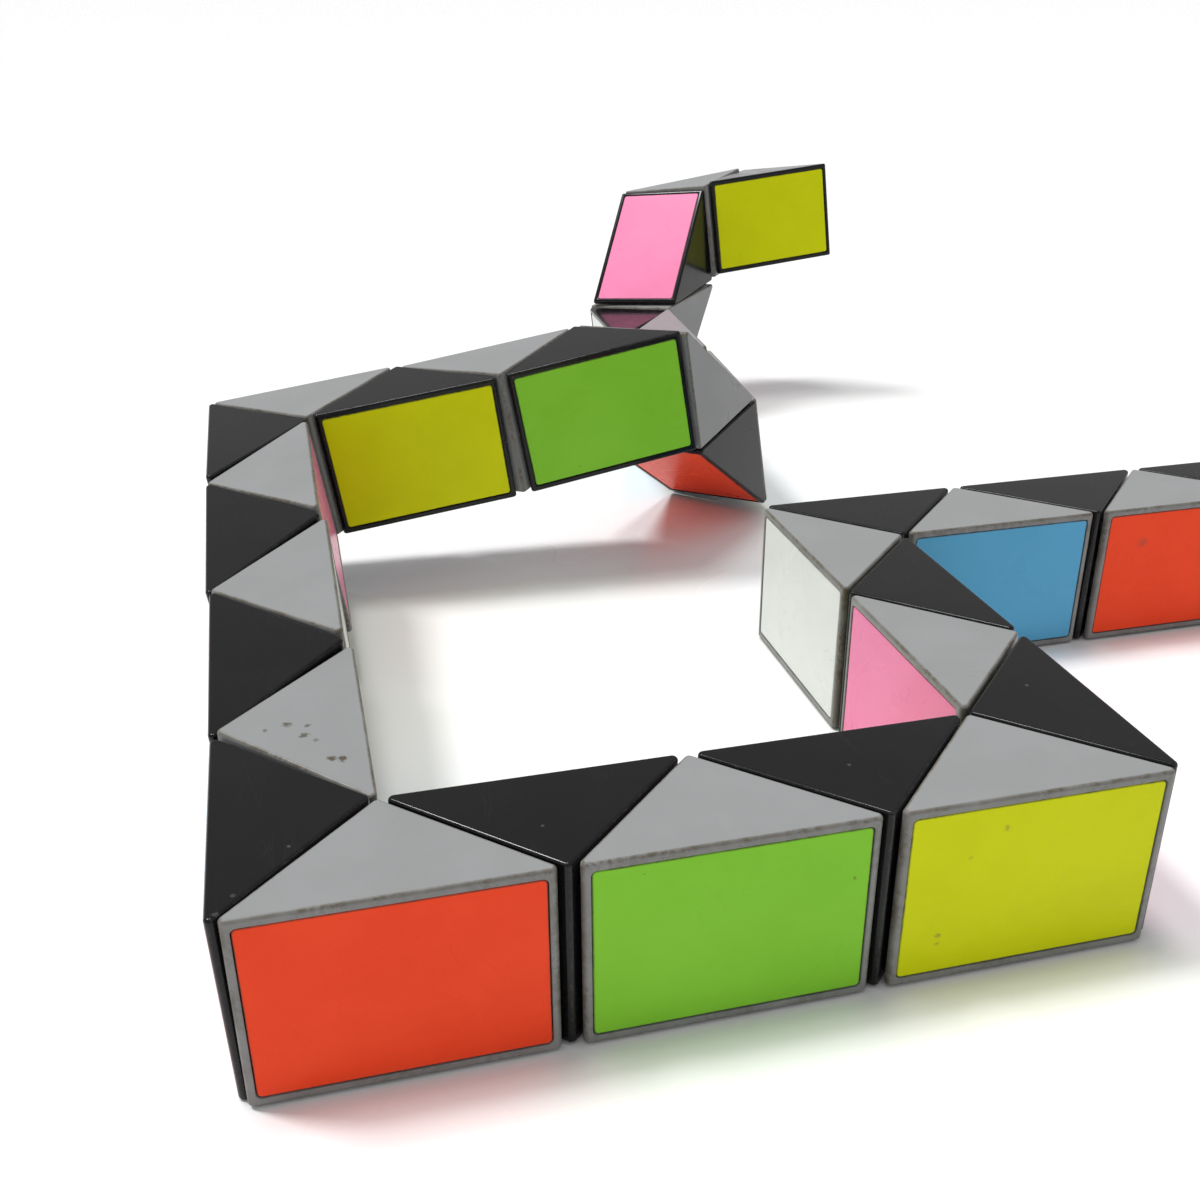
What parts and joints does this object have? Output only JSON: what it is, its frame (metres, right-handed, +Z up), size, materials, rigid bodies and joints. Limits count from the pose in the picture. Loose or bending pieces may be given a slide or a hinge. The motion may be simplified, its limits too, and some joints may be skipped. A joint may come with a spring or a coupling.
{
  "type": "twisty snake puzzle",
  "caption": "Chain of black and grey right-angled wedges with coloured caps on their long sides, each turning on the next about a sprung bolt, lying as an open loop with a raised tail.",
  "frame": {"origin": "under the middle of the whole chain as it lies, at the height of its lowest point", "axes": "+Z up, +X along the front row to the right, +Y from the front row to the back"},
  "size_m": [0.1868, 0.2192, 0.0526],
  "materials": {
    "black_plastic": "satin moulded plastic with worn edges",
    "grey_plastic": "satin moulded plastic",
    "steel": "zinc plated",
    "yellow_cap": "smooth satin moulded plastic",
    "pink_cap": "smooth satin moulded plastic",
    "white_cap": "smooth satin moulded plastic",
    "blue_cap": "smooth satin moulded plastic",
    "red_cap": "smooth satin moulded plastic",
    "green_cap": "smooth satin moulded plastic"
  },
  "bodies": {
    "segment_01": {"wedge_01": "black_plastic", "pivot_set_01": "steel"},
    "segment_02": {"wedge_02": "grey_plastic"},
    "segment_03": {"wedge_03": "black_plastic", "pivot_set_03": "steel"},
    "segment_04": {"wedge_04": "grey_plastic"},
    "segment_05": {"wedge_05": "black_plastic", "pivot_set_05": "steel"},
    "segment_06": {"wedge_06": "grey_plastic"},
    "segment_07": {"wedge_07": "black_plastic", "pivot_set_07": "steel"},
    "segment_08": {"wedge_08": "grey_plastic"},
    "segment_09": {"wedge_09": "black_plastic", "pivot_set_09": "steel"},
    "segment_10": {"wedge_10": "grey_plastic"},
    "segment_11": {"wedge_11": "black_plastic", "pivot_set_11": "steel"},
    "segment_12": {"wedge_12": "grey_plastic"},
    "segment_13": {"wedge_13": "black_plastic", "pivot_set_13": "steel"},
    "segment_14": {"wedge_14": "grey_plastic"},
    "segment_15": {"wedge_15": "black_plastic", "pivot_set_15": "steel"},
    "segment_16": {"wedge_16": "grey_plastic"},
    "segment_17": {"wedge_17": "black_plastic", "pivot_set_17": "steel"},
    "segment_18": {"wedge_18": "grey_plastic"},
    "segment_19": {"wedge_19": "black_plastic", "pivot_set_19": "steel"},
    "segment_20": {"wedge_20": "grey_plastic"},
    "segment_21": {"wedge_21": "black_plastic", "pivot_set_21": "steel"},
    "segment_22": {"wedge_22": "grey_plastic"},
    "segment_23": {"wedge_23": "black_plastic", "pivot_set_23": "steel"},
    "segment_24": {"wedge_24": "grey_plastic"},
    "segment_25": {"wedge_25": "black_plastic", "pivot_set_25": "steel"},
    "segment_26": {"wedge_26": "grey_plastic"},
    "segment_27": {"wedge_27": "black_plastic", "pivot_set_27": "steel"},
    "segment_28": {"wedge_28": "grey_plastic"},
    "segment_29": {"wedge_29": "black_plastic", "pivot_set_29": "steel"},
    "segment_30": {"wedge_30": "grey_plastic"},
    "segment_31": {"wedge_31": "black_plastic", "pivot_set_31": "steel"},
    "segment_32": {"wedge_32": "grey_plastic"},
    "segment_33": {"wedge_33": "black_plastic", "pivot_set_33": "steel"},
    "segment_34": {"wedge_34": "grey_plastic"},
    "segment_35": {"wedge_35": "black_plastic", "pivot_set_35": "steel"},
    "segment_36": {"wedge_36": "grey_plastic"}
  },
  "joints": [
    {"name": "turn_01_02", "type": "hinge", "parent": "segment_02", "child": "segment_01", "pos_m": [0.02594, 0.10118, 0.03953], "axis": [-0.7348, 0.6669, -0.124], "continuous": true},
    {"name": "turn_02_03", "type": "hinge", "parent": "segment_03", "child": "segment_02", "pos_m": [0.01056, 0.10033, 0.03738], "axis": [-0.6637, -0.7446, -0.0715], "continuous": true},
    {"name": "turn_03_04", "type": "hinge", "parent": "segment_04", "child": "segment_03", "pos_m": [0.00458, 0.092, 0.02568], "axis": [0.1207, -0.0123, -0.9926], "continuous": true},
    {"name": "turn_04_05", "type": "hinge", "parent": "segment_05", "child": "segment_04", "pos_m": [-0.00207, 0.08435, 0.01388], "axis": [-0.7255, -0.6836, -0.0798], "continuous": true},
    {"name": "turn_05_06", "type": "hinge", "parent": "segment_06", "child": "segment_05", "pos_m": [-0.0026, 0.0688, 0.01401], "axis": [-0.6775, 0.7298, -0.0914], "range_deg": [-90, 180]},
    {"name": "turn_06_07", "type": "hinge", "parent": "segment_07", "child": "segment_06", "pos_m": [-0.00301, 0.05326, 0.01338], "axis": [0.7153, 0.6828, 0.1488], "range_deg": [-180, 90]},
    {"name": "turn_07_08", "type": "hinge", "parent": "segment_08", "child": "segment_07", "pos_m": [-0.0034, 0.03773, 0.01256], "axis": [-0.6804, 0.7291, -0.0742], "range_deg": [-90, 90]},
    {"name": "turn_08_09", "type": "hinge", "parent": "segment_09", "child": "segment_08", "pos_m": [-0.00375, 0.02221, 0.01155], "axis": [-0.7124, -0.6818, -0.166], "continuous": true},
    {"name": "turn_09_10", "type": "hinge", "parent": "segment_10", "child": "segment_09", "pos_m": [-0.01341, 0.01398, 0.02055], "axis": [0.1657, 0.0664, -0.9839], "range_deg": [-90, 90]},
    {"name": "turn_10_11", "type": "hinge", "parent": "segment_11", "child": "segment_10", "pos_m": [-0.02293, 0.00561, 0.02956], "axis": [0.7004, 0.6944, 0.1648], "range_deg": [-180, 90]},
    {"name": "turn_11_12", "type": "hinge", "parent": "segment_12", "child": "segment_11", "pos_m": [-0.03824, 0.00587, 0.0268], "axis": [0.6912, -0.7175, 0.0857], "range_deg": [-90, 90]},
    {"name": "turn_12_13", "type": "hinge", "parent": "segment_13", "child": "segment_12", "pos_m": [-0.0536, 0.00611, 0.02433], "axis": [0.7048, 0.6956, 0.1391], "continuous": true},
    {"name": "turn_13_14", "type": "hinge", "parent": "segment_14", "child": "segment_13", "pos_m": [-0.06901, 0.00633, 0.02223], "axis": [0.6964, -0.7159, 0.0512], "range_deg": [-7, 7]},
    {"name": "turn_14_15", "type": "hinge", "parent": "segment_15", "child": "segment_14", "pos_m": [-0.08443, 0.00655, 0.02014], "axis": [-0.7048, -0.6956, -0.1391], "continuous": true},
    {"name": "turn_15_16", "type": "hinge", "parent": "segment_16", "child": "segment_15", "pos_m": [-0.08448, -0.00895, 0.01889], "axis": [-0.6997, 0.714, -0.0253], "range_deg": [-7, 7]},
    {"name": "turn_16_17", "type": "hinge", "parent": "segment_17", "child": "segment_16", "pos_m": [-0.08449, -0.02442, 0.01726], "axis": [0.7003, 0.6924, 0.1735], "range_deg": [-180, 90]},
    {"name": "turn_17_18", "type": "hinge", "parent": "segment_18", "child": "segment_17", "pos_m": [-0.08444, -0.03984, 0.01516], "axis": [0.7052, -0.7088, -0.0177], "continuous": true},
    {"name": "turn_18_19", "type": "hinge", "parent": "segment_19", "child": "segment_18", "pos_m": [-0.08444, -0.05533, 0.01372], "axis": [0.7058, 0.6993, 0.1131], "range_deg": [-90, 90]},
    {"name": "turn_19_20", "type": "hinge", "parent": "segment_20", "child": "segment_19", "pos_m": [-0.08443, -0.07078, 0.0119], "axis": [-0.7071, 0.7052, 0.0523], "range_deg": [-180, 90]},
    {"name": "turn_20_21", "type": "hinge", "parent": "segment_21", "child": "segment_20", "pos_m": [-0.08443, -0.08631, 0.01104], "axis": [0.7069, 0.7069, 0.0262], "range_deg": [-7, 7]},
    {"name": "turn_21_22", "type": "hinge", "parent": "segment_22", "child": "segment_21", "pos_m": [-0.08442, -0.10186, 0.01075], "axis": [-0.7071, 0.7071, 0], "continuous": true},
    {"name": "turn_22_23", "type": "hinge", "parent": "segment_22", "child": "segment_23", "pos_m": [-0.06887, -0.10186, 0.01075], "axis": [0.7071, 0.7071, 0], "range_deg": [-7, 7]},
    {"name": "turn_23_24", "type": "hinge", "parent": "segment_23", "child": "segment_24", "pos_m": [-0.05331, -0.10186, 0.01075], "axis": [0.7071, -0.7071, 0], "range_deg": [-180, 90]},
    {"name": "turn_24_25", "type": "hinge", "parent": "segment_24", "child": "segment_25", "pos_m": [-0.03775, -0.10186, 0.01075], "axis": [0.7071, 0.7071, 0], "continuous": true},
    {"name": "turn_25_26", "type": "hinge", "parent": "segment_25", "child": "segment_26", "pos_m": [-0.0222, -0.10186, 0.01075], "axis": [0.7071, -0.7071, 0], "range_deg": [-7, 7]},
    {"name": "turn_26_27", "type": "hinge", "parent": "segment_26", "child": "segment_27", "pos_m": [-0.00664, -0.10186, 0.01075], "axis": [0.7071, 0.7071, 0], "continuous": true},
    {"name": "turn_27_28", "type": "hinge", "parent": "segment_27", "child": "segment_28", "pos_m": [-0.00664, -0.08631, 0.01075], "axis": [-0.7071, 0.7071, 0], "range_deg": [-7, 7]},
    {"name": "turn_28_29", "type": "hinge", "parent": "segment_28", "child": "segment_29", "pos_m": [-0.00664, -0.07075, 0.01075], "axis": [0.7071, 0.7071, 0], "continuous": true},
    {"name": "turn_29_30", "type": "hinge", "parent": "segment_29", "child": "segment_30", "pos_m": [-0.00664, -0.05519, 0.01075], "axis": [-0.7071, 0.7071, 0], "range_deg": [-7, 7]},
    {"name": "turn_30_31", "type": "hinge", "parent": "segment_30", "child": "segment_31", "pos_m": [-0.00664, -0.03964, 0.01075], "axis": [0.7071, 0.7071, 0], "range_deg": [-90, 90]},
    {"name": "turn_31_32", "type": "hinge", "parent": "segment_31", "child": "segment_32", "pos_m": [0.00891, -0.03964, 0.01075], "axis": [0.7071, -0.7071, 0], "range_deg": [-7, 7]},
    {"name": "turn_32_33", "type": "hinge", "parent": "segment_32", "child": "segment_33", "pos_m": [0.02447, -0.03964, 0.01075], "axis": [0.7071, 0.7071, 0], "continuous": true},
    {"name": "turn_33_34", "type": "hinge", "parent": "segment_33", "child": "segment_34", "pos_m": [0.04003, -0.03964, 0.01075], "axis": [0.7071, -0.7071, 0], "range_deg": [-180, 90]},
    {"name": "turn_34_35", "type": "hinge", "parent": "segment_34", "child": "segment_35", "pos_m": [0.05558, -0.03964, 0.01075], "axis": [0.7071, 0.7071, 0], "continuous": true},
    {"name": "turn_35_36", "type": "hinge", "parent": "segment_35", "child": "segment_36", "pos_m": [0.07114, -0.03964, 0.01075], "axis": [-0.7071, 0.7071, 0], "continuous": true}
  ]
}
